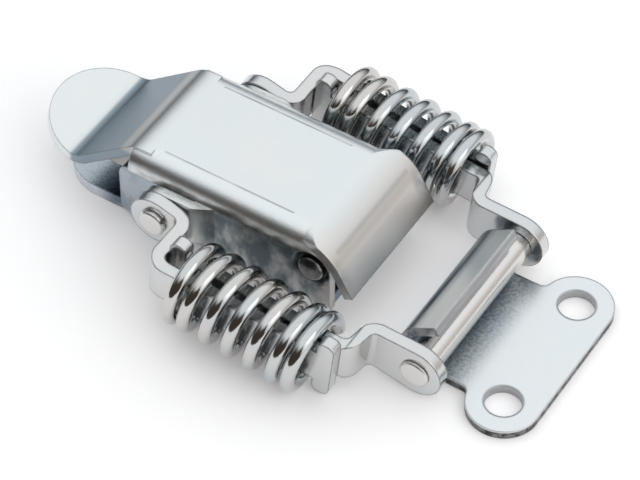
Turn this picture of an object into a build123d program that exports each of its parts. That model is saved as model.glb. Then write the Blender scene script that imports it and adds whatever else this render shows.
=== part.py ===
from build123d import *
from math import asin, cos, degrees, hypot, pi, radians, sin, sqrt, tan
import os

# Spring draw latch, formed from zinc plated sheet steel, closed and hooked on its keeper.
# Frame in mm: +X from the thumb tab to the keeper, +Y across the latch, +Z up.
# The origin is the middle of the two base holes, on the mounting face.

# Clearances
turning_fit = 0.05      # radial gap between a pin and the hole that turns on it
fixed_fit = 0.01        # radial gap round a pin that is riveted fast
sheet_gap = 0.30        # gap between two sheets that pass each other
touch_gap = 0.10        # gap between sheets that lie side by side
head_gap = 0.05         # gap under a rivet head or at a spring's end
cut_gap = 0.20          # width of a sheared slit

# Base
base_sheet = 2.0
base_bend = 2.5         # outside radius of the folded walls
base_hole_spacing = 34.0
base_hole_d = 5.5
tongue_half = 8.2       # half width and end radius of the rounded tongue
wall_left_x = -11.5
wall_height = 11.4
wall_corner = 2.0
ear_r = 2.9             # round end of the base wall about the lever pivot
arm_back = 8.0          # where the arm that carries the ear leaves the wall
knee_back = 4.2         # inner corner of the wall, measured from the pivot
knee_down = 4.6
foot_back = 5.9         # where the wall's sloping edge meets the floor
floor_end_x = 24.4

# Lever pivot
lever_pivot_x = 23.0
lever_pivot_z = 10.9
pivot_pin_d = 3.2
pivot_head_d = 4.2
pivot_head_proud = 0.3  # outside the skirt
pivot_dish_d = 6.4      # dished seat of the pin's head in the skirt
pivot_dish_depth = 0.8
head_edge = 0.25        # chamfer round every riveted head

# Lever handle
lever_sheet = 1.5
lever_half = 11.2       # half width over the folded skirts
lever_top_z = 16.6
lever_fold = 3.5        # outside radius of the side folds
lever_left_x = -8.5
flange_start_x = 21.2   # where the flat top curves down
flange_bend = 7.5
flange_slope = 62.0     # degrees below level
flange_straight = 4.7   # flat length of the end flange below its curve
flange_corner = 0.4     # rounding along the flange's side edges
flange_blend = 3.4      # length over which the side fold runs out into the flange
skirt_right_x = 26.2
skirt_bottom_z = 2.5
skirt_corner = 1.0
skirt_back_corner = 2.0
skirt_back_x = 12.0     # where the skirt's lower edge starts to rise to the ear
neck_start_x = -7.0     # where the flat top bends down to the neck
neck_slope = 38.0
neck_bend = 4.5
valley_x = -19.5        # corner between the neck and the thumb tab
valley_bend = 4.0
tab_slope = 15.0        # the thumb tab rises again towards its tip
tab_r = 9.3
tab_centre_x = -19.8

# Link rivets, where the pull links turn on the lever's ears
link_pivot_x = -1.6
link_pivot_z = 9.8
link_ear_r = 3.7
joggle_start = 5.0      # from the link pivot to the ends of the joggle
joggle_end = 8.0
joggle_bend = 1.0
ear_rise = 1.2          # slope of the skirt's lower edge beside the ear
link_rivet_d = 3.2
link_head_d = 4.4
link_head_h = 0.8

# Cross pin
cross_pin_x = 43.0
cross_pin_z = 5.0
cross_pin_d = 4.8
cross_pin_neck_d = 3.8
cross_pin_head_d = 4.6
cross_pin_head_h = 0.5

# Links, cut from one thickness of strip and laid along the line between their pivots
strip = 2.0
strip_half = 3.0        # half height where the strip passes through the spring
pull_end_r = 4.0
jog_in = 4.2            # from the link pivot to the near face of the pull link's jog
claw_end_r = 4.2
claw_half = 3.5         # half height of the claw arms
claw_inner = 13.3       # inside face of the claw arms, from the centre plane
claw_arm = 8.1          # straight length of a claw arm from the cross pin
claw_jog = 0.8          # length of the jog along the link
head_half = 5.4         # half height of the T heads
head_length = 2.8
head_corner = 1.2
pull_bend = 2.0         # middle radius of the pull link's bends
claw_bend = 1.9         # middle radius of the claw link's bends

# Springs
link_y = 20.4           # distance of each pair of strips from the centre plane
pull_spread = 1.35      # the pull link's strip starts this much further out, away from the claw link's
spring_out = 0.45       # the spring rests this much outwards on the strips
spring_drop = 0.1       # and this much down
wire_d = 2.2
spring_od = 13.6
end_pitch = 2.25
coil_pitch = 3.74
end_turns = 1.0         # closed turns at each end
open_turns = 5.0
pitch_blend = 0.6       # turns over which the pitch opens out
claw_seat_turn = 0.28   # turn from the wire's near end to where the claw link's T head bears on it
pull_seat_turn = 0.19   # turn from its far end to where the pull link's T head bears on it
stations_per_turn = 12

# Keeper plate
keeper_sheet = 1.5
curl_inner_r = 3.2
curl_shift = 0.3        # the pin sits this much towards the open side of the hook
curl_end = 121.0        # where the hook's curl runs into its straight lip, degrees above level
lip_length = 3.8
neck_half = 11.0
keeper_hole_x = 54.8
keeper_hole_spacing = 21.0
keeper_hole_d = 5.5
lobe_r = 5.5
neck_corner = 1.2

# Places worked out from the sizes above
pivot = (lever_pivot_x, lever_pivot_z)
link_pivot = (link_pivot_x, link_pivot_z)
cross_pin = (cross_pin_x, cross_pin_z)
lever_inner = lever_half - lever_sheet
base_half = lever_inner - sheet_gap
ear_inner = lever_half + touch_gap
ear_outer = ear_inner + lever_sheet
pull_inner = ear_outer + touch_gap
pull_outer = pull_inner + strip
claw_outer = claw_inner + strip
link_run = hypot(cross_pin_x - link_pivot_x, link_pivot_z - cross_pin_z)
link_tilt = degrees(asin((link_pivot_z - cross_pin_z) / link_run))
strip_offset = (strip + sheet_gap) / 2
pull_strip_y = link_y + strip_offset
claw_strip_y = link_y - strip_offset
mean_r = (spring_od - wire_d) / 2
spring_turns = open_turns + 2 * end_turns
claw_head_left = jog_in + strip + touch_gap
claw_head_right = claw_head_left + head_length
spring_start = claw_head_right + head_gap + wire_d / 2 - claw_seat_turn * end_pitch


def slab(sketch, y0, y1):
    """Side view outline, X right and Z up, made solid between two stations across the latch."""
    return extrude(Plane.XZ.offset(-y0) * sketch, amount=y1 - y0, dir=(0, 1, 0))


def through(sketch):
    """Side view outline made solid right across the latch."""
    return slab(sketch, -2 * link_y, 2 * link_y)


def rounded(points, corners):
    """Polygon with the corners that are listed by index rounded."""
    outline = Polygon(*points, align=None)
    for index, radius in corners.items():
        corner = outline.vertices().sort_by_distance(Vector(*points[index]))[0]
        outline = fillet(corner, radius)
    return outline


def bent_strip(points, radius, thickness):
    """Section of a sheet that is bent along its middle line."""
    return trace(FilletPolyline(*points, radius=radius), line_width=thickness)


def bar(centre, diameter, y0, y1):
    """Round bar across the latch."""
    return slab(Pos(*centre) * Circle(diameter / 2), y0, y1)


def rivet_head(centre, diameter, height, face_y, outward):
    """Round head standing on a face, with its outer edge chamfered."""
    head = bar(centre, diameter, face_y, face_y + outward * height)
    rims = head.edges().filter_by(GeomType.CIRCLE).sort_by(Axis.Y)
    return chamfer(rims[-1] if outward > 0 else rims[0], head_edge)


def other_side(shape):
    return mirror(shape, about=Plane.XZ)


def folded_channel(x0, x1, half, sheet, bend, web_z, edge_z):
    """Channel of folded sheet along X, its web's outside at web_z and its walls' ends at edge_z."""
    line_half = half - sheet / 2
    line_z = web_z + (sheet if edge_z > web_z else -sheet) / 2
    line = [(-line_half, edge_z), (-line_half, line_z), (line_half, line_z), (line_half, edge_z)]
    section = bent_strip(line, bend - sheet / 2, sheet)
    return extrude(Plane.YZ.offset(x0) * section, amount=x1 - x0)


# Base

def base_wall_outline():
    """Side view of the base's walls, with the arms that reach forward to the lever pivot."""
    px, pz = pivot
    knee = (px - knee_back, pz - knee_down)
    shoulder = (px - arm_back, wall_height)
    foot_x = px - foot_back
    wall_points = [
        (wall_left_x, 0),
        (wall_left_x, wall_height),
        shoulder,
        knee,
        (foot_x, base_sheet),
        (foot_x, 0),
    ]
    wall = rounded(wall_points, {1: wall_corner})
    root = Polygon(shoulder, knee, (shoulder[0], knee[1]), align=None)
    ear = Pos(px, pz) * Circle(ear_r)
    return wall + make_hull(root.edges() + ear.edges())


def base_channel():
    floor_length = floor_end_x - wall_left_x
    floor = Pos(wall_left_x + floor_length / 2, base_sheet / 2) * Rectangle(floor_length, base_sheet)
    channel = folded_channel(wall_left_x, floor_end_x, base_half, base_sheet, base_bend, 0, lever_top_z)
    channel &= through(base_wall_outline() + floor)
    tongue_x = -base_hole_spacing / 2
    root_x = wall_left_x + base_bend
    root = Pos((tongue_x + root_x) / 2, 0) * Rectangle(root_x - tongue_x, 2 * tongue_half)
    channel += extrude(Pos(tongue_x, 0) * Circle(tongue_half) + root, amount=base_sheet)
    hole = extrude(Circle(base_hole_d / 2), amount=base_sheet)
    for x in (tongue_x, -tongue_x):
        channel -= Pos(x, 0) * hole
    return channel - bar(pivot, pivot_pin_d + 2 * fixed_fit, -base_half, base_half)


def lever_pivot_pin():
    seat_y = lever_half - pivot_dish_depth + head_gap
    head_h = pivot_dish_depth - head_gap + pivot_head_proud
    pin = bar(pivot, pivot_pin_d, -seat_y, seat_y)
    for side in (-1, 1):
        pin += rivet_head(pivot, pivot_head_d, head_h, side * seat_y, side)
    return pin


# Lever

def lever_tab_and_neck():
    """Neck that slopes down from the flat top, and the round thumb tab that rises again."""
    top_z = lever_top_z - lever_sheet / 2
    middle_bend = neck_bend - lever_sheet / 2
    neck_x = neck_start_x - middle_bend * tan(radians(neck_slope / 2))
    valley_z = top_z - (neck_x - valley_x) * tan(radians(neck_slope))
    rise = tan(radians(tab_slope))
    tip_x = tab_centre_x - 2 * tab_r
    tab_z = valley_z + (valley_x - tab_centre_x) * rise
    tip_z = valley_z + (valley_x - tip_x) * rise
    line = [(tip_x, tip_z), (valley_x, valley_z), (neck_x, top_z), (neck_start_x + lever_sheet, top_z)]
    sheet = slab(bent_strip(line, (valley_bend, middle_bend), lever_sheet), -tab_r, tab_r)
    tab_plane = Plane(origin=(tab_centre_x, 0, tab_z), x_dir=(1, 0, -rise), z_dir=(rise, 0, 1))
    reach = 4 * tab_r
    outline = Circle(tab_r) + Pos(reach / 2, 0) * Rectangle(reach, 2 * tab_r)
    return sheet & extrude(tab_plane * outline, amount=reach, both=True)


def lever_flange():
    """Flat top's right end, curved down over the whole width, with its side fold running out."""
    top_z = lever_top_z - lever_sheet / 2
    slope = radians(flange_slope)
    middle_bend = flange_bend - lever_sheet / 2
    tangent = middle_bend * tan(slope / 2)
    corner_x = flange_start_x + tangent
    drop = tangent + flange_straight
    end = (corner_x + drop * cos(slope), top_z - drop * sin(slope))
    line = [(flange_start_x - lever_sheet, top_z), (corner_x, top_z), end]
    sheet = slab(bent_strip(line, middle_bend, lever_sheet), -lever_half, lever_half)
    height = 2 * lever_top_z
    sections = []
    corners = [
        (flange_start_x - lever_sheet, lever_fold),
        (flange_start_x, lever_fold),
        (flange_start_x + flange_blend, flange_corner),
        (end[0] + lever_sheet, flange_corner),
    ]
    for x, radius in corners:
        block = Pos(0, lever_top_z - height / 2) * RectangleRounded(2 * lever_half, height, radius)
        sections.append(Plane.YZ.offset(x) * block)
    return sheet & loft(sections, ruled=True)


def skirt_outline():
    """Side view of the folded skirts, clear of the neck's bend, the end flange and the ears."""
    ear_x = link_pivot_x + joggle_end
    slit_z = lever_top_z - lever_fold
    ear_low_z = link_pivot_z - link_ear_r
    points = [
        (lever_left_x, lever_top_z),
        (skirt_right_x, lever_top_z),
        (skirt_right_x, skirt_bottom_z),
        (skirt_back_x, skirt_bottom_z),
        (skirt_back_x - (ear_low_z - skirt_bottom_z) * ear_rise, ear_low_z),
        (ear_x, ear_low_z),
        (ear_x, slit_z),
        (lever_left_x, slit_z),
    ]
    outline = rounded(points, {2: skirt_corner, 3: skirt_back_corner})
    reach = flange_bend + lever_sheet
    flange_clear = Pos(flange_start_x + reach / 2, lever_top_z - flange_bend + reach / 2)
    flange_room = flange_clear * Rectangle(reach, reach)
    flange_room -= Pos(flange_start_x, lever_top_z - flange_bend) * Circle(flange_bend - lever_sheet - cut_gap)
    bend_room = Pos(neck_start_x - neck_bend / 2, lever_top_z) * Rectangle(neck_bend, neck_bend)
    bend_room -= Pos(neck_start_x, lever_top_z - neck_bend) * Circle(neck_bend)
    return outline - flange_room - bend_room


def lever_ear():
    """Ear joggled outwards from the skirt on the +Y side, for the pull link's rivet."""
    skirt_y = lever_half - lever_sheet / 2
    ear_y = ear_inner + lever_sheet / 2
    line = [
        (link_pivot_x - link_ear_r, ear_y),
        (link_pivot_x + joggle_start, ear_y),
        (link_pivot_x + joggle_end, skirt_y),
        (link_pivot_x + joggle_end + lever_sheet, skirt_y),
    ]
    strip_plan = bent_strip(line, joggle_bend, lever_sheet)
    sheet = extrude(strip_plan, amount=lever_top_z)
    end_x = link_pivot_x + joggle_end + lever_sheet
    web = Pos((link_pivot_x + end_x) / 2, link_pivot_z) * Rectangle(end_x - link_pivot_x, 2 * link_ear_r)
    return sheet & through(web + Pos(*link_pivot) * Circle(link_ear_r))


def lever_handle():
    channel = folded_channel(
        lever_left_x, skirt_right_x, lever_half, lever_sheet, lever_fold, lever_top_z, 0
    )
    handle = (channel & through(skirt_outline())) + lever_tab_and_neck() + lever_flange()
    ear = lever_ear()
    handle += ear + other_side(ear)
    rivet_hole_d = link_rivet_d + 2 * fixed_fit
    handle -= bar(link_pivot, rivet_hole_d, -ear_outer, -ear_inner)
    handle -= bar(link_pivot, rivet_hole_d, ear_inner, ear_outer)
    dish_low_d = pivot_dish_d - 2 * pivot_dish_depth
    for side in (-1, 1):
        handle -= bar(pivot, pivot_pin_d + 2 * turning_fit, side * lever_inner, side * lever_half)
        rim = Plane.XZ.offset(-side * lever_half) * Pos(*pivot) * Circle(pivot_dish_d / 2)
        seat_plane = Plane.XZ.offset(-side * (lever_half - pivot_dish_depth))
        seat = seat_plane * Pos(*pivot) * Circle(dish_low_d / 2)
        handle -= loft([rim, seat], ruled=True)
    return handle


def link_rivet():
    """Rivet on the +Y side that fixes the pull link to the lever's ear."""
    inner_y = ear_inner - head_gap
    outer_y = pull_outer + head_gap
    rivet = bar(link_pivot, link_rivet_d, inner_y, outer_y)
    rivet += rivet_head(link_pivot, link_head_d, link_head_h, inner_y, -1)
    return rivet + rivet_head(link_pivot, link_head_d, link_head_h, outer_y, 1)


# Links and springs, drawn level from the link pivot and then tilted onto the line to the cross pin

def on_link_line(shape):
    return Pos(link_pivot_x, 0, link_pivot_z) * Rot(0, link_tilt, 0) * shape


def link_body(plan, side):
    """Flat strip bent in plan and cut to its side view."""
    blank = extrude(plan, amount=2 * head_half, both=True)
    return blank & through(side)


def t_head(left):
    """Side view of a T head."""
    return Pos(left + head_length / 2, 0) * RectangleRounded(head_length, 2 * head_half, head_corner)


def strip_side(left, right, half):
    return Pos((left + right) / 2, 0) * Rectangle(right - left, 2 * half)


def tapered_end(x, radius, neck_x, half):
    """Side view of a round end that runs into a straight strip."""
    neck = Pos(neck_x, 0) * Rectangle(strip, 2 * half)
    return make_hull((Pos(x, 0) * Circle(radius)).edges() + neck.edges())


def pull_link():
    """Link on the +Y side, from the lever's ear through the spring's outer half to its far end."""
    end_y = pull_inner + strip / 2
    jog_x = jog_in + strip / 2
    head_left = pull_head_left()
    head_right = head_left + head_length
    line = [
        (-pull_end_r, end_y),
        (jog_x, end_y),
        (jog_x, pull_strip_y + pull_spread),
        (head_right, pull_strip_y),
    ]
    side = tapered_end(0, pull_end_r, jog_x, strip_half)
    side += strip_side(jog_x, head_left + strip, strip_half) + t_head(head_left)
    side -= Circle(link_rivet_d / 2 + turning_fit)
    return on_link_line(link_body(bent_strip(line, pull_bend, strip), side))


def claw_link():
    """Link on the +Y side, from the spring's near end through its inner half to the cross pin."""
    arm_y = claw_inner + strip / 2
    bend_x = link_run - claw_arm
    jog_x = bend_x - claw_jog
    line = [
        (claw_head_left, claw_strip_y),
        (jog_x, claw_strip_y),
        (bend_x, arm_y),
        (link_run + claw_end_r, arm_y),
    ]
    side = tapered_end(link_run, claw_end_r, bend_x, claw_half)
    side += strip_side(claw_head_left + strip, jog_x, strip_half) + t_head(claw_head_left)
    before_jog = strip_side(jog_x - strip, jog_x, strip_half)
    after_jog = strip_side(bend_x, bend_x + strip, claw_half)
    side += make_hull(before_jog.edges() + after_jog.edges())
    side -= Pos(link_run, 0) * Circle(cross_pin_neck_d / 2 + fixed_fit)
    return on_link_line(link_body(bent_strip(line, claw_bend, strip), side))


def pitch_at(turn):
    """Lead of the coil at that many turns from its nearer end."""
    from_end = min(turn, spring_turns - turn)
    opened = min(max((from_end - end_turns) / pitch_blend, 0), 1)
    return end_pitch + (coil_pitch - end_pitch) * opened


def coil_stations():
    """Turn and distance along the link at each station of the wire."""
    count = round(spring_turns * stations_per_turn)
    step = spring_turns / count
    stations = [(0, spring_start)]
    for index in range(count):
        turn, x = stations[-1]
        lead = (pitch_at(turn) + pitch_at(turn + step)) / 2
        stations.append((turn + step, x + lead * step))
    return stations


def pull_head_left():
    """Near face of the pull link's T head, against the spring's far end."""
    return coil_stations()[-1][1] - pull_seat_turn * end_pitch + wire_d / 2 + head_gap


def spring(side):
    """Left handed coil round both strips, with its ends towards +Y."""
    axis_y = side * (link_y + spring_out)
    points = []
    for turn, x in coil_stations():
        angle = 2 * pi * turn
        points.append((x, axis_y + mean_r * cos(angle), -spring_drop - mean_r * sin(angle)))
    path = Spline(*points)
    wire = sweep(Plane(origin=path @ 0, z_dir=path % 0) * Circle(wire_d / 2), path=path)
    return on_link_line(wire)


def cross_pin_bar():
    """Cross pin with its ends riveted over in the claw links."""
    body_y = claw_inner - head_gap
    head_y = claw_outer + head_gap
    pin = bar(cross_pin, cross_pin_d, -body_y, body_y)
    pin += bar(cross_pin, cross_pin_neck_d, -head_y, head_y)
    for side in (-1, 1):
        pin += rivet_head(cross_pin, cross_pin_head_d, cross_pin_head_h, side * head_y, side)
    return pin


# Keeper

def neck_web():
    """Plan of the rounded inner corner between the neck and the lobe on the +Y side."""
    lobe_y = keeper_hole_spacing / 2
    y = neck_half + neck_corner
    x = keeper_hole_x - sqrt((lobe_r + neck_corner) ** 2 - (y - lobe_y) ** 2)
    web = Polygon((x, 0), (keeper_hole_x, 0), (keeper_hole_x, lobe_y), (x, y), align=None)
    return web - Pos(x, y) * Circle(neck_corner)


def keeper_hook():
    """Section of the tongue: flat, curled up round the cross pin, then straight to its free edge."""
    curl_x = cross_pin_x - curl_shift
    curl_r = curl_inner_r + keeper_sheet / 2
    curl_z = keeper_sheet + curl_inner_r
    flat_z = keeper_sheet / 2
    flat = Line((keeper_hole_x, flat_z), (curl_x, flat_z))
    curl = CenterArc((curl_x, curl_z), curl_r, 270, curl_end - 270)
    lip = Line(curl @ 1, curl @ 1 + (curl % 1) * lip_length)
    return trace(flat + curl + lip, line_width=keeper_sheet)


def keeper_plate():
    """Plate with two screw lobes, whose tongue curls up into the hook that holds the cross pin."""
    lobes = Pos(keeper_hole_x, 0) * SlotCenterToCenter(keeper_hole_spacing, 2 * lobe_r, rotation=90)
    root_length = keeper_hole_x - cross_pin_x
    root = Pos(keeper_hole_x - root_length / 2, 0) * Rectangle(root_length, 2 * neck_half)
    web = neck_web()
    plate = lobes + root + web + mirror(web, about=Plane.XZ)
    keeper = slab(keeper_hook(), -neck_half, neck_half) + extrude(plate, amount=keeper_sheet)
    hole = extrude(Circle(keeper_hole_d / 2), amount=keeper_sheet)
    for side in (-1, 1):
        keeper -= Pos(keeper_hole_x, side * keeper_hole_spacing / 2) * hole
    return keeper


def build():
    rivet = link_rivet()
    pull = pull_link()
    claw = claw_link()
    return {
        "base_channel": base_channel(),
        "lever_pivot_pin": lever_pivot_pin(),
        "lever_handle": lever_handle(),
        "link_rivet_left": rivet,
        "link_rivet_right": other_side(rivet),
        "pull_link_left": pull,
        "pull_link_right": other_side(pull),
        "spring_left": spring(1),
        "spring_right": spring(-1),
        "claw_link_left": claw,
        "claw_link_right": other_side(claw),
        "cross_pin": cross_pin_bar(),
        "keeper_plate": keeper_plate(),
    }


os.makedirs("parts", exist_ok=True)
for name, shape in build().items():
    export_step(shape, f"parts/{name}.step")
    print(name, round(shape.volume, 1), "mm3")
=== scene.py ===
import bmesh
import bpy
import numpy as np
from math import radians
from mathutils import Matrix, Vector


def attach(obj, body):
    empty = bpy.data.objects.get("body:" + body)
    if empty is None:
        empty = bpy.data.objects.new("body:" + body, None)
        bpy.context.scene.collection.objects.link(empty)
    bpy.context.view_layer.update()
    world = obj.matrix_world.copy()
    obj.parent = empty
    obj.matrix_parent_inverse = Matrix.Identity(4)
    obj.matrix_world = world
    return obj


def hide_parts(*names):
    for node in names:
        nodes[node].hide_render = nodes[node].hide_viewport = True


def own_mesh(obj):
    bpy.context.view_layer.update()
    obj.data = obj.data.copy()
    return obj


# Spring draw latch in bright zinc plate, closed on its keeper. Metres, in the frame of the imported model.

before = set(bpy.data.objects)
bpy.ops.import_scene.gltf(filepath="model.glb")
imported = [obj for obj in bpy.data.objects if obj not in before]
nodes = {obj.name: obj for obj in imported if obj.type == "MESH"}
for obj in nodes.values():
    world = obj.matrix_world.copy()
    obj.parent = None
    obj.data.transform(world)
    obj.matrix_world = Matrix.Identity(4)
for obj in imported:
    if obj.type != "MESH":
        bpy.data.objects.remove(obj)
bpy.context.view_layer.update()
scene = bpy.context.scene
print("frame loaded:", len(nodes), "nodes")


# Camera, at the angle the latch was photographed from

cameraView = {
    "azimuth": 32.521,  # degrees from the front, towards the thumb tab
    "elevation": 48.595,
    "distance": 0.459476,
    "target": (0.016053, 0.002234, 0.0),
    "lens": 174.8,
    "sensorWidth": 36.0,
    "near": 0.02,
    "far": 20.0,
}


def addCamera(view):
    data = bpy.data.cameras.new("camera")
    data.sensor_fit = "HORIZONTAL"
    data.sensor_width = view["sensorWidth"]
    data.lens = view["lens"]
    data.clip_start = view["near"]
    data.clip_end = view["far"]
    camera = bpy.data.objects.new("camera", data)
    camera.rotation_euler = (radians(90 - view["elevation"]), 0, radians(view["azimuth"]))
    back = camera.rotation_euler.to_matrix() @ Vector((0, 0, view["distance"]))
    camera.location = Vector(view["target"]) + back
    scene.collection.objects.link(camera)
    scene.camera = camera


addCamera(cameraView)
print("camera placed")


# Small helpers for node trees

def link(tree, source, output, target, socket):
    tree.links.new(source.outputs[output], target.inputs[socket])


def addNode(tree, kind, at=(0, 0), **values):
    node = tree.nodes.new(kind)
    node.location = at
    for name, value in values.items():
        setattr(node, name, value)
    return node


def newGroup(name, inputs, outputs):
    group = bpy.data.node_groups.new(name, "ShaderNodeTree")
    for label, kind, value in inputs:
        socket = group.interface.new_socket(label, in_out="INPUT", socket_type=kind)
        if value is not None:
            socket.default_value = value
    for label, kind in outputs:
        group.interface.new_socket(label, in_out="OUTPUT", socket_type=kind)
    start = addNode(group, "NodeGroupInput", (-900, 0))
    end = addNode(group, "NodeGroupOutput", (900, 0))
    return group, start, end


def mathNode(tree, operation, at, first=None, second=None, clamp=False):
    node = addNode(tree, "ShaderNodeMath", at, operation=operation, use_clamp=clamp)
    for index, value in enumerate((first, second)):
        if isinstance(value, (int, float)):
            node.inputs[index].default_value = value
        elif value is not None:
            tree.links.new(value, node.inputs[index])
    return node.outputs[0]


def noise(tree, vector, scale, detail, at, roughness=0.5):
    node = addNode(tree, "ShaderNodeTexNoise", at)
    node.inputs["Scale"].default_value = scale
    node.inputs["Detail"].default_value = detail
    node.inputs["Roughness"].default_value = roughness
    tree.links.new(vector, node.inputs["Vector"])
    return node


def vectorNode(tree, operation, at, first, second=None):
    node = addNode(tree, "ShaderNodeVectorMath", at, operation=operation)
    for index, value in enumerate((first, second)):
        if isinstance(value, tuple):
            node.inputs[index].default_value = value
        elif value is not None:
            tree.links.new(value, node.inputs[index])
    return node.outputs["Vector"]


def mapRange(tree, value, low, high, at):  # 0 to 1 with soft ends
    node = addNode(tree, "ShaderNodeMapRange", at, interpolation_type="SMOOTHSTEP")
    node.inputs["From Min"].default_value = low
    node.inputs["From Max"].default_value = high
    tree.links.new(value, node.inputs["Value"])
    return node.outputs["Result"]


def mixColour(tree, factor, first, second, at):
    node = addNode(tree, "ShaderNodeMix", at, data_type="RGBA")
    tree.links.new(factor, node.inputs["Factor"])
    for socket, value in (("A", first), ("B", second)):
        if isinstance(value, tuple):
            node.inputs[socket].default_value = (*value, 1.0)
        else:
            tree.links.new(value, node.inputs[socket])
    return node.outputs["Result"]


# Bright zinc: faint blue and straw clouds from the passivation, fine grey specks,
# and the grain of the rolled sheet

zincPattern = {
    "cloudScale": 70.0,
    "cloudEdges": (0.38, 0.62),  # noise where a cloud starts, and where it is full
    "speckScale": 4200.0,
    "speckEdges": (0.63, 0.76),
    "speckColour": (0.26, 0.27, 0.29),
    "speckRoughness": 0.25,
    "grainScale": 4200.0,
    "grainStretch": (0.35, 1.0, 1.0),  # drawn out along the latch
    "dentScale": 700.0,
}


def makeZincGroup(look):
    inputs = [
        ("Vector", "NodeSocketVector", None),
        ("Colour", "NodeSocketColor", (0.8, 0.8, 0.8, 1)),
        ("Cool", "NodeSocketColor", (0.7, 0.78, 0.82, 1)),
        ("Warm", "NodeSocketColor", (0.84, 0.8, 0.72, 1)),
        ("Cloud", "NodeSocketFloat", 0.5),
        ("Speck", "NodeSocketFloat", 0.4),
        ("Roughness", "NodeSocketFloat", 0.3),
        ("Grain", "NodeSocketFloat", 0.1),
    ]
    outputs = [
        ("Colour", "NodeSocketColor"),
        ("Roughness", "NodeSocketFloat"),
        ("Height", "NodeSocketFloat"),
    ]
    group, start, end = newGroup("zincPlate", inputs, outputs)
    vector = start.outputs["Vector"]

    cloud = noise(group, vector, look["cloudScale"], 3.0, (-600, 300), 0.55)
    spread = mapRange(group, cloud.outputs["Fac"], *look["cloudEdges"], (-400, 300))
    tint = mixColour(group, spread, start.outputs["Cool"], start.outputs["Warm"], (-200, 300))
    body = mixColour(group, start.outputs["Cloud"], start.outputs["Colour"], tint, (0, 300))

    specks = noise(group, vector, look["speckScale"], 2.0, (-600, 0), 0.7)
    speckMask = mapRange(group, specks.outputs["Fac"], *look["speckEdges"], (-400, 0))
    speckAmount = mathNode(group, "MULTIPLY", (-200, 0), speckMask, start.outputs["Speck"])
    speckled = mixColour(group, speckAmount, body, look["speckColour"], (200, 300))

    stretch = addNode(group, "ShaderNodeMapping", (-800, -300))
    stretch.inputs["Scale"].default_value = look["grainStretch"]
    group.links.new(vector, stretch.inputs["Vector"])
    grain = noise(group, stretch.outputs["Vector"], look["grainScale"], 2.0, (-600, -300), 0.6)
    grainCentred = mathNode(group, "SUBTRACT", (-400, -300), grain.outputs["Fac"], 0.5)
    grainRough = mathNode(group, "MULTIPLY", (-200, -300), grainCentred, start.outputs["Grain"])
    speckRough = mathNode(group, "MULTIPLY", (-200, -150), speckAmount, look["speckRoughness"])
    rough = mathNode(group, "ADD", (0, -200), start.outputs["Roughness"], grainRough)
    rough = mathNode(group, "ADD", (200, -200), rough, speckRough, clamp=True)

    dents = noise(group, vector, look["dentScale"], 3.0, (-600, -600), 0.5)
    height = mathNode(group, "ADD", (200, -450), grain.outputs["Fac"], dents.outputs["Fac"])
    height = mathNode(group, "SUBTRACT", (400, -450), height, speckAmount)

    group.links.new(speckled, end.inputs["Colour"])
    group.links.new(rough, end.inputs["Roughness"])
    group.links.new(height, end.inputs["Height"])
    return group


# Edges: a painted dark reflection line where the true face turns away from the softened one

edgePattern = {
    "turn": (0.96, 0.80),  # cosine of the turn where the tone starts, and where it is full
    "patchScale": 700.0,
    "gain": 1.8,
}


def makeEdgeGroup(look):
    inputs = [
        ("Soft Normal", "NodeSocketVector", None),
        ("True Normal", "NodeSocketVector", None),
        ("Vector", "NodeSocketVector", None),
        ("Colour", "NodeSocketColor", (0.8, 0.8, 0.8, 1)),
        ("Edge Colour", "NodeSocketColor", (0.9, 0.9, 0.9, 1)),
        ("Amount", "NodeSocketFloat", 0.5),
    ]
    group, start, end = newGroup("paintedEdgeReflection", inputs, [("Colour", "NodeSocketColor")])
    turn = addNode(group, "ShaderNodeVectorMath", (-600, 0), operation="DOT_PRODUCT")
    group.links.new(start.outputs["Soft Normal"], turn.inputs[0])
    group.links.new(start.outputs["True Normal"], turn.inputs[1])
    edge = mapRange(group, turn.outputs["Value"], *look["turn"], (-400, 0))
    patchy = noise(group, start.outputs["Vector"], look["patchScale"], 2.0, (-600, -250), 0.6)
    edgeReflectionMask = mathNode(group, "MULTIPLY", (-200, -100), edge, patchy.outputs["Fac"])
    edgeReflectionMask = mathNode(group, "MULTIPLY", (0, -100), edgeReflectionMask, look["gain"])
    edgeReflectionMask = mathNode(group, "MULTIPLY", (200, -100), edgeReflectionMask, start.outputs["Amount"], clamp=True)
    mixed = mixColour(group, edgeReflectionMask, start.outputs["Colour"], start.outputs["Edge Colour"], (450, 0))
    group.links.new(mixed, end.inputs["Colour"])
    return group


# Zone: one inside a box with rounded corners and soft edges, patchy where asked; it places painted shade
# and reflection as well as the plating's own tones.
# The latch is the same on both sides, so Y is read without its sign.

patchEdges = (0.38, 0.62)  # noise where a gap in a zone starts, and where it is full


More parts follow.
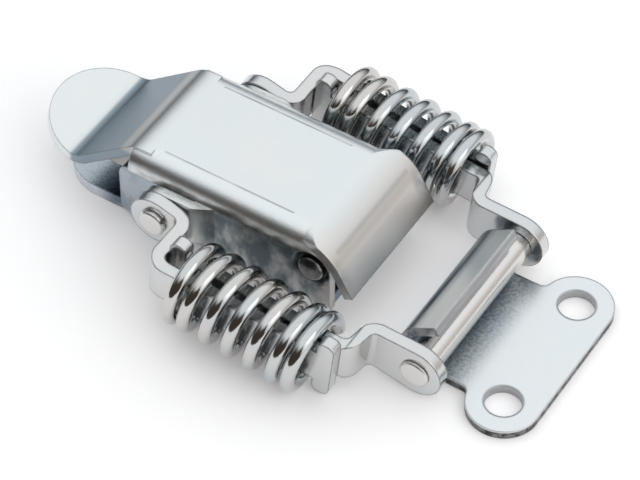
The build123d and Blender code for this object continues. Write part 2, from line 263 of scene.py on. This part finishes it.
def makeZoneGroup():
    inputs = [
        ("Vector", "NodeSocketVector", None),
        ("Middle", "NodeSocketVector", (0, 0, 0)),
        ("Half", "NodeSocketVector", (0.01, 0.01, 0.01)),
        ("Round", "NodeSocketFloat", 0.0),
        ("Soft", "NodeSocketVector", (0.001, 0.001, 0.001)),
        ("Amount", "NodeSocketFloat", 1.0),
        ("Patchy", "NodeSocketFloat", 0.0),
        ("Patch Size", "NodeSocketVector", (1, 1, 1)),
    ]
    group, start, end = newGroup("shadeAndPlatingZone", inputs, [("Mask", "NodeSocketFloat")])
    split = addNode(group, "ShaderNodeSeparateXYZ", (-750, 200))
    group.links.new(start.outputs["Vector"], split.inputs["Vector"])
    oneSide = addNode(group, "ShaderNodeCombineXYZ", (-450, 200))
    group.links.new(split.outputs["X"], oneSide.inputs["X"])
    group.links.new(mathNode(group, "ABSOLUTE", (-600, 200), split.outputs["Y"]), oneSide.inputs["Y"])
    group.links.new(split.outputs["Z"], oneSide.inputs["Z"])
    middle = start.outputs["Middle"]
    offset = vectorNode(group, "SUBTRACT", (-300, 200), oneSide.outputs["Vector"], middle)
    away = vectorNode(group, "ABSOLUTE", (-150, 200), offset)
    away = vectorNode(group, "SUBTRACT", (0, 200), away, start.outputs["Half"])
    away = vectorNode(group, "MAXIMUM", (150, 200), away, (0, 0, 0))
    away = vectorNode(group, "DIVIDE", (300, 200), away, start.outputs["Soft"])
    far = addNode(group, "ShaderNodeVectorMath", (450, 200), operation="LENGTH")
    group.links.new(away, far.inputs[0])
    past = mathNode(group, "SUBTRACT", (600, 200), far.outputs["Value"], start.outputs["Round"])
    inside = mapRange(group, past, 1.0, 0.0, (700, 200))
    patchSize = start.outputs["Patch Size"]
    sized = vectorNode(group, "MULTIPLY", (-300, -200), start.outputs["Vector"], patchSize)
    patches = noise(group, sized, 1.0, 3.0, (-100, -200), 0.6)
    patches = mapRange(group, patches.outputs["Fac"], *patchEdges, (100, -200))
    gaps = mathNode(group, "MULTIPLY", (250, -200), patches, start.outputs["Patchy"])
    kept = mathNode(group, "SUBTRACT", (400, -200), 1.0, gaps)
    mask = mathNode(group, "MULTIPLY", (700, 0), inside, kept)
    mask = mathNode(group, "MULTIPLY", (800, 0), mask, start.outputs["Amount"], clamp=True)
    group.links.new(mask, end.inputs["Mask"])
    return group


zincGroup = makeZincGroup(zincPattern)
edgeGroup = makeEdgeGroup(edgePattern)
zoneGroup = makeZoneGroup()
bumpDepth = 0.00004
edgeSamples = 6
print("shared plating groups made")


def addZone(tree, place, zone, at):
    node = addNode(tree, "ShaderNodeGroup", at, node_tree=zoneGroup)
    link(tree, place, "Object", node, "Vector")
    node.inputs["Middle"].default_value = [mm * 0.001 for mm in zone["middle"]]
    node.inputs["Half"].default_value = [mm * 0.001 for mm in zone["half"]]
    node.inputs["Round"].default_value = zone.get("round", 0.0) / zone["soft"][0]
    node.inputs["Soft"].default_value = [mm * 0.001 for mm in zone["soft"]]
    node.inputs["Amount"].default_value = zone["amount"]
    node.inputs["Patchy"].default_value = zone.get("patchy", 0.0)
    node.inputs["Patch Size"].default_value = [1000.0 / mm for mm in zone.get("patch", (1, 1, 1))]
    return node.outputs["Mask"]


def makeZinc(name, look):
    material = bpy.data.materials.new(name)
    material.use_nodes = True
    tree = material.node_tree
    shader = tree.nodes["Principled BSDF"]
    shader.inputs["Metallic"].default_value = 1.0
    place = addNode(tree, "ShaderNodeTexCoord", (-1500, 0))
    zinc = addNode(tree, "ShaderNodeGroup", (-1200, 0), node_tree=zincGroup)
    link(tree, place, "Object", zinc, "Vector")
    zinc.inputs["Colour"].default_value = (*look["colour"], 1)
    zinc.inputs["Cool"].default_value = (*look["cool"], 1)
    zinc.inputs["Warm"].default_value = (*look["warm"], 1)
    zinc.inputs["Cloud"].default_value = look["cloud"]
    zinc.inputs["Speck"].default_value = look["speck"]
    zinc.inputs["Roughness"].default_value = look["roughness"]
    zinc.inputs["Grain"].default_value = look["grain"]
    colour = zinc.outputs["Colour"]
    height = zinc.outputs["Height"]
    for index, zone in enumerate(look.get("zones", [])):
        across = -1000 + 150 * index
        mask = addZone(tree, place, zone, (across, 500))
        colour = mixColour(tree, mask, colour, zone["colour"], (across, 250))
        if "sink" in zone:
            drop = mathNode(tree, "MULTIPLY", (across, -700), mask, zone["sink"])
            height = mathNode(tree, "SUBTRACT", (across, -850), height, drop)
    bevel = addNode(tree, "ShaderNodeBevel", (-800, -400), samples=edgeSamples)
    bevel.inputs["Radius"].default_value = look["edge"]
    geometry = addNode(tree, "ShaderNodeNewGeometry", (-1100, -600))
    edge = addNode(tree, "ShaderNodeGroup", (-300, 0), node_tree=edgeGroup)
    link(tree, bevel, "Normal", edge, "Soft Normal")
    link(tree, geometry, "Normal", edge, "True Normal")
    link(tree, place, "Object", edge, "Vector")
    tree.links.new(colour, edge.inputs["Colour"])
    # the edge colour is a painted dark reflection line along the edges
    edge.inputs["Edge Colour"].default_value = (*look["edgeColour"], 1)
    edge.inputs["Amount"].default_value = look["edgeReflection"]
    bump = addNode(tree, "ShaderNodeBump", (-300, -400))
    bump.inputs["Strength"].default_value = look["bump"]
    bump.inputs["Distance"].default_value = bumpDepth
    tree.links.new(height, bump.inputs["Height"])
    link(tree, bevel, "Normal", bump, "Normal")
    link(tree, edge, "Colour", shader, "Base Color")
    link(tree, zinc, "Roughness", shader, "Roughness")
    link(tree, bump, "Normal", shader, "Normal")
    return material


def dress(material, *names):
    for name in names:
        mesh = nodes[name].data
        mesh.materials.clear()
        mesh.materials.append(material)


# Base channel

baseLook = {
    "colour": (0.70, 0.725, 0.76),
    "cool": (0.60, 0.67, 0.73),
    "warm": (0.73, 0.72, 0.74),
    "cloud": 0.6,
    "speck": 0.15,
    "roughness": 0.26,
    "grain": 0.15,
    "bump": 0.25,
    "edge": 0.0004,
    "edgeColour": (0.34, 0.33, 0.33),
    "edgeReflection": 0.6,
    "zones": [  # millimetres: painted shade, dark blue, in the hollow under the neck and the lever
        {
            "middle": (6, 0, 5),
            "half": (19, 7.6, 7),
            "soft": (4.5, 4.5, 4.5),
            "amount": 0.92,
            "colour": (0.085, 0.145, 0.20),
            "patchy": 0.3,
            "patch": (5, 5, 5),
        },
    ],
}
dress(makeZinc("baseZinc", baseLook), "base_channel")

# Lever handle

leverLook = {
    "colour": (0.755, 0.785, 0.79),
    "cool": (0.735, 0.79, 0.805),
    "warm": (0.79, 0.785, 0.77),
    "cloud": 0.5,
    "speck": 0.06,
    "roughness": 0.32,
    "grain": 0.15,
    "bump": 0.35,
    "edge": 0.0003,
    "edgeColour": (0.24, 0.23, 0.225),
    "edgeReflection": 0.9,
    "zones": [
        {  # painted dark reflection, grey, down the neck
            "middle": (-13.4, 0, 12),
            "half": (3.4, 12, 8),
            "soft": (4.2, 4.2, 4.2),
            "amount": 0.76,
            "colour": (0.37, 0.37, 0.375),
        },
        {  # painted shade, darker, where the neck's bend ends, over its reflected bright line
            "middle": (-10.2, 0, 14),
            "half": (0.6, 12, 6),
            "soft": (1.9, 1.9, 1.9),
            "amount": 0.22,
            "colour": (0.20, 0.20, 0.20),
        },
        {  # and painted teal reflection in the valley at its foot
            "middle": (-18, 0, 12),
            "half": (0.7, 12, 8),
            "soft": (3.0, 3.0, 3.0),
            "amount": 0.6,
            "colour": (0.32, 0.385, 0.40),
            "patchy": 0.4,
            "patch": (6, 6, 6),
        },
        {  # warm shade on the end flange
            "middle": (31, 0, 10),
            "half": (4.5, 14, 8),
            "soft": (5.5, 5.5, 5.5),
            "amount": 0.7,
            "colour": (0.60, 0.56, 0.53),
        },
        {  # brown shade low on the side folds
            "middle": (8, 11.3, 13.4),
            "half": (14.5, 0.5, 0.5),
            "soft": (1.3, 1.3, 1.3),
            "amount": 0.6,
            "colour": (0.30, 0.27, 0.25),
            "patchy": 0.5,
            "patch": (1.2, 0.5, 0.5),
        },
        {  # painted dark reflection, slate, on the skirts' outer faces
            "middle": (17, 11.6, 5.6),
            "half": (11, 0.6, 6.6),
            "soft": (2.6, 2.6, 2.6),
            "amount": 0.9,
            "colour": (0.10, 0.145, 0.17),
            "patchy": 0.75,
            "patch": (4.5, 4.5, 8),
        },
        {  # painted shade on the underside
            "middle": (3, 0, 7),
            "half": (23, 9.2, 7.2),
            "soft": (0.8, 0.8, 0.8),
            "amount": 0.85,
            "colour": (0.20, 0.26, 0.31),
        },
        {  # forming line beside the side fold, sunk by a bump, with painted shade in it
            "middle": (7, 7.75, 16.6),
            "half": (11, 0.03, 0.2),
            "soft": (0.2, 0.2, 0.2),
            "amount": 0.8,
            "colour": (0.34, 0.34, 0.34),
            "patchy": 0.4,
            "patch": (7, 7, 7),
            "sink": 3.0,
        },
        {  # painted shade in the dished seat of the pivot pin
            "middle": (23, 10.7, 10.9),
            "half": (0, 0.45, 0),
            "round": 2.7,
            "soft": (0.5, 0.5, 0.5),
            "amount": 0.9,
            "colour": (0.035, 0.045, 0.05),
        },
    ],
}
dress(makeZinc("leverZinc", leverLook), "lever_handle")

# Links

linkLook = {
    "colour": (0.635, 0.65, 0.655),
    "cool": (0.59, 0.63, 0.65),
    "warm": (0.67, 0.65, 0.635),
    "cloud": 0.5,
    "speck": 0.06,
    "roughness": 0.20,
    "grain": 0.12,
    "bump": 0.2,
    "edge": 0.0005,
    "edgeColour": (0.06, 0.055, 0.05),
    "edgeReflection": 0.95,
    "zones": [
        {  # shade of the coils on the strips inside the springs
            "middle": (18, 21, 6),
            "half": (9, 2.6, 5),
            "soft": (2.0, 2.0, 2.0),
            "amount": 0.3,
            "colour": (0.30, 0.36, 0.40),
            "patchy": 0.5,
            "patch": (3, 3, 3),
        },
    ],
}
linkZinc = makeZinc("linkZinc", linkLook)
dress(linkZinc, "pull_link_left", "pull_link_right", "claw_link_left", "claw_link_right")

# Springs. Each is a copy of its solid, welded and smoothed, and carried with the links

springLook = {
    "colour": (0.58, 0.59, 0.59),
    "cool": (0.52, 0.56, 0.58),
    "warm": (0.60, 0.575, 0.55),
    "cloud": 0.7,
    "speck": 0.05,
    "roughness": 0.11,
    "grain": 0.05,
    "bump": 0.06,
    "edge": 0.0001,
    "edgeColour": (0.5, 0.5, 0.5),
    "edgeReflection": 0.1,
    "seat": 0.0006,  # from the wire's tip back to where the T head pushes on it
    "weld": 0.000001,
    "faceAngle": 35.0,
}
springZinc = makeZinc("springZinc", springLook)


def addSpring(name, node, look):
    mesh = nodes[node].data.copy()
    shape = bmesh.new()
    shape.from_mesh(mesh)
    bmesh.ops.remove_doubles(shape, verts=shape.verts, dist=look["weld"])
    shape.to_mesh(mesh)
    shape.free()
    mesh.materials.clear()
    mesh.materials.append(springZinc)
    mesh.shade_smooth()
    mesh.set_sharp_from_angle(angle=radians(look["faceAngle"]))
    spring = bpy.data.objects.new(name, mesh)
    scene.collection.objects.link(spring)
    points = np.empty(len(mesh.vertices) * 3)
    mesh.vertices.foreach_get("co", points)
    points = points.reshape(-1, 3)
    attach(spring, "links")
    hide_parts(node)
    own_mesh(spring)


addSpring("coil_left", "spring_left", springLook)
addSpring("coil_right", "spring_right", springLook)

# Rivets and pins

pinLook = {
    "colour": (0.70, 0.69, 0.68),
    "cool": (0.66, 0.68, 0.70),
    "warm": (0.74, 0.71, 0.68),
    "cloud": 0.5,
    "speck": 0.2,
    "roughness": 0.20,
    "grain": 0.1,
    "bump": 0.2,
    "edge": 0.0004,
    "edgeColour": (0.20, 0.19, 0.18),
    "edgeReflection": 0.8,
}
dress(makeZinc("pinZinc", pinLook), "link_rivet_left", "link_rivet_right", "cross_pin")

# Lever pivot pin, darkened by painted shade in its dished seat

pivotLook = {
    **pinLook,
    "colour": (0.34, 0.36, 0.37),
    "cool": (0.26, 0.31, 0.34),
    "warm": (0.36, 0.34, 0.32),
    "zones": [
        # painted shade, black, on the upper part of the head
        {
            "middle": (22.7, 11.5, 12.2),
            "half": (1.0, 0.6, 0.5),
            "soft": (0.8, 0.8, 0.8),
            "amount": 0.9,
            "colour": (0.02, 0.02, 0.02),
        },
    ],
}
dress(makeZinc("pivotZinc", pivotLook), "lever_pivot_pin")

# Keeper plate

keeperLook = {
    "colour": (0.76, 0.79, 0.80),
    "cool": (0.73, 0.785, 0.81),
    "warm": (0.78, 0.79, 0.785),
    "cloud": 0.5,
    "speck": 0.06,
    "roughness": 0.32,
    "grain": 0.15,
    "bump": 0.30,
    "edge": 0.0004,
    "edgeColour": (0.36, 0.35, 0.35),
    "edgeReflection": 0.7,
    "zones": [
        {  # shade beside the hook
            "middle": (44, 0, 1.0),
            "half": (1.6, 14, 0.6),
            "soft": (4.9, 2.0, 1.0),
            "amount": 0.9,
            "colour": (0.17, 0.225, 0.27),
            "patchy": 0.35,
            "patch": (0.5, 0.5, 0.5),
        },
        {  # dark blue-grey streaks along the curl
            "middle": (38.5, 0, 4.2),
            "half": (1.6, 12, 4.0),
            "soft": (1.8, 1.2, 1.4),
            "amount": 0.95,
            "colour": (0.13, 0.18, 0.23),
            "patchy": 0.6,
            "patch": (0.8, 14, 0.8),
        },
        {  # cut face of the lip
            "middle": (44.2, 0, 10.0),
            "half": (0.45, 12, 0.8),
            "soft": (0.35, 0.35, 0.35),
            "amount": 0.9,
            "colour": (0.30, 0.30, 0.31),
            "patchy": 0.25,
            "patch": (0.8, 14, 0.8),
        },
        {  # painted contact shade, near black, low on the edges along the floor
            "middle": (54, 0, 0.4),
            "half": (9, 18, 0.6),
            "soft": (0.5, 0.5, 0.4),
            "amount": 1.0,
            "colour": (0.045, 0.038, 0.035),
            "patchy": 0.25,
            "patch": (1.0, 1.0, 1.5),
        },
        {  # paler walls of the screw holes
            "middle": (54.8, 10.5, 0.5),
            "half": (0, 0, 0.8),
            "round": 2.95,
            "soft": (0.2, 0.2, 0.2),
            "amount": 0.85,
            "colour": (0.44, 0.45, 0.46),
        },
    ],
}
dress(makeZinc("keeperZinc", keeperLook), "keeper_plate")
print("plating done")


# Floor and light

studio = {
    "floorColour": (0.97, 0.97, 0.97),
    "floorHalf": 5.0,
    "floorDrop": 0.00005,
    "seenLift": (0.20, 0.19, 0.19),  # makes the floor white where it is seen or mirrored
    "sky": (1.06, 1.085, 1.10),
    "horizon": (0.10, 0.115, 0.13),
    "rightHorizon": (0.62, 0.585, 0.56),
    "skyRise": (0.12, 0.68),  # height where the sky starts, and where it is full
    "rightRise": (0.15, 0.75),
    "card": (0.060, 0.048, 0.040),  # dark brown card in front
    "cardAhead": (0.15, 0.60),  # how far towards the front it starts, and where it is full
    "cardHeight": (0.86, 0.58),  # height at which it ends, and where it is full
}


def addFloor(look):
    half = look["floorHalf"]
    mesh = bpy.data.meshes.new("floor")
    corners = [(-half, -half, 0), (half, -half, 0), (half, half, 0), (-half, half, 0)]
    mesh.from_pydata(corners, [], [(0, 1, 2, 3)])
    floor = bpy.data.objects.new("floor", mesh)
    floor.location.z = -look["floorDrop"]
    scene.collection.objects.link(floor)
    material = bpy.data.materials.new("floorPaper")
    material.use_nodes = True
    tree = material.node_tree
    shader = tree.nodes["Principled BSDF"]
    shader.inputs["Base Color"].default_value = (*look["floorColour"], 1)
    shader.inputs["Roughness"].default_value = 1.0
    shader.inputs["Specular IOR Level"].default_value = 0.0
    shader.inputs["Emission Color"].default_value = (*look["seenLift"], 1)
    rays = addNode(tree, "ShaderNodeLightPath", (-600, -300)).outputs
    seen = mathNode(tree, "MAXIMUM", (-400, -300), rays["Is Camera Ray"], rays["Is Glossy Ray"])
    seen = mathNode(tree, "MAXIMUM", (-200, -300), seen, rays["Is Transmission Ray"])
    tree.links.new(seen, shader.inputs["Emission Strength"])
    mesh.materials.append(material)


keyLamp = {
    "place": (0.78, -0.18, 0.42),  # low on the right, so the level faces don't mirror it from above
    "aim": (0.015, 0, 0),
    "side": 0.75,
    "watts": 1.4,
}


def addSoftbox(name, look):
    data = bpy.data.lights.new(name, "AREA")
    data.shape = "SQUARE"
    data.size = look["side"]
    data.energy = look["watts"]
    lamp = bpy.data.objects.new(name, data)
    lamp.location = look["place"]
    direction = Vector(look["aim"]) - Vector(look["place"])
    lamp.rotation_euler = direction.to_track_quat("-Z", "Y").to_euler()
    scene.collection.objects.link(lamp)


def addWorld(look):
    world = bpy.data.worlds.new("studioAir")
    world.use_nodes = True
    scene.world = world
    tree = world.node_tree
    place = addNode(tree, "ShaderNodeTexCoord", (-1100, 0))
    split = addNode(tree, "ShaderNodeSeparateXYZ", (-900, 0))
    link(tree, place, "Generated", split, "Vector")
    rise = mapRange(tree, split.outputs["Z"], *look["skyRise"], (-650, 200))
    rightward = mapRange(tree, split.outputs["X"], *look["rightRise"], (-650, 400))
    horizon = mixColour(tree, rightward, look["horizon"], look["rightHorizon"], (-500, 400))
    sky = mixColour(tree, rise, horizon, look["sky"], (-300, 200))
    forward = mathNode(tree, "MULTIPLY", (-650, -100), split.outputs["Y"], -1.0)
    ahead = mapRange(tree, forward, *look["cardAhead"], (-450, -100))
    below = mapRange(tree, split.outputs["Z"], *look["cardHeight"], (-450, -350))
    card = mathNode(tree, "MULTIPLY", (-250, -200), ahead, below)
    air = mixColour(tree, card, sky, look["card"], (-100, 0))
    tree.links.new(air, tree.nodes["Background"].inputs["Color"])


addFloor(studio)
addWorld(studio)
addSoftbox("keySoftbox", keyLamp)
scene.view_settings.view_transform = "Standard"
print("studio lit")
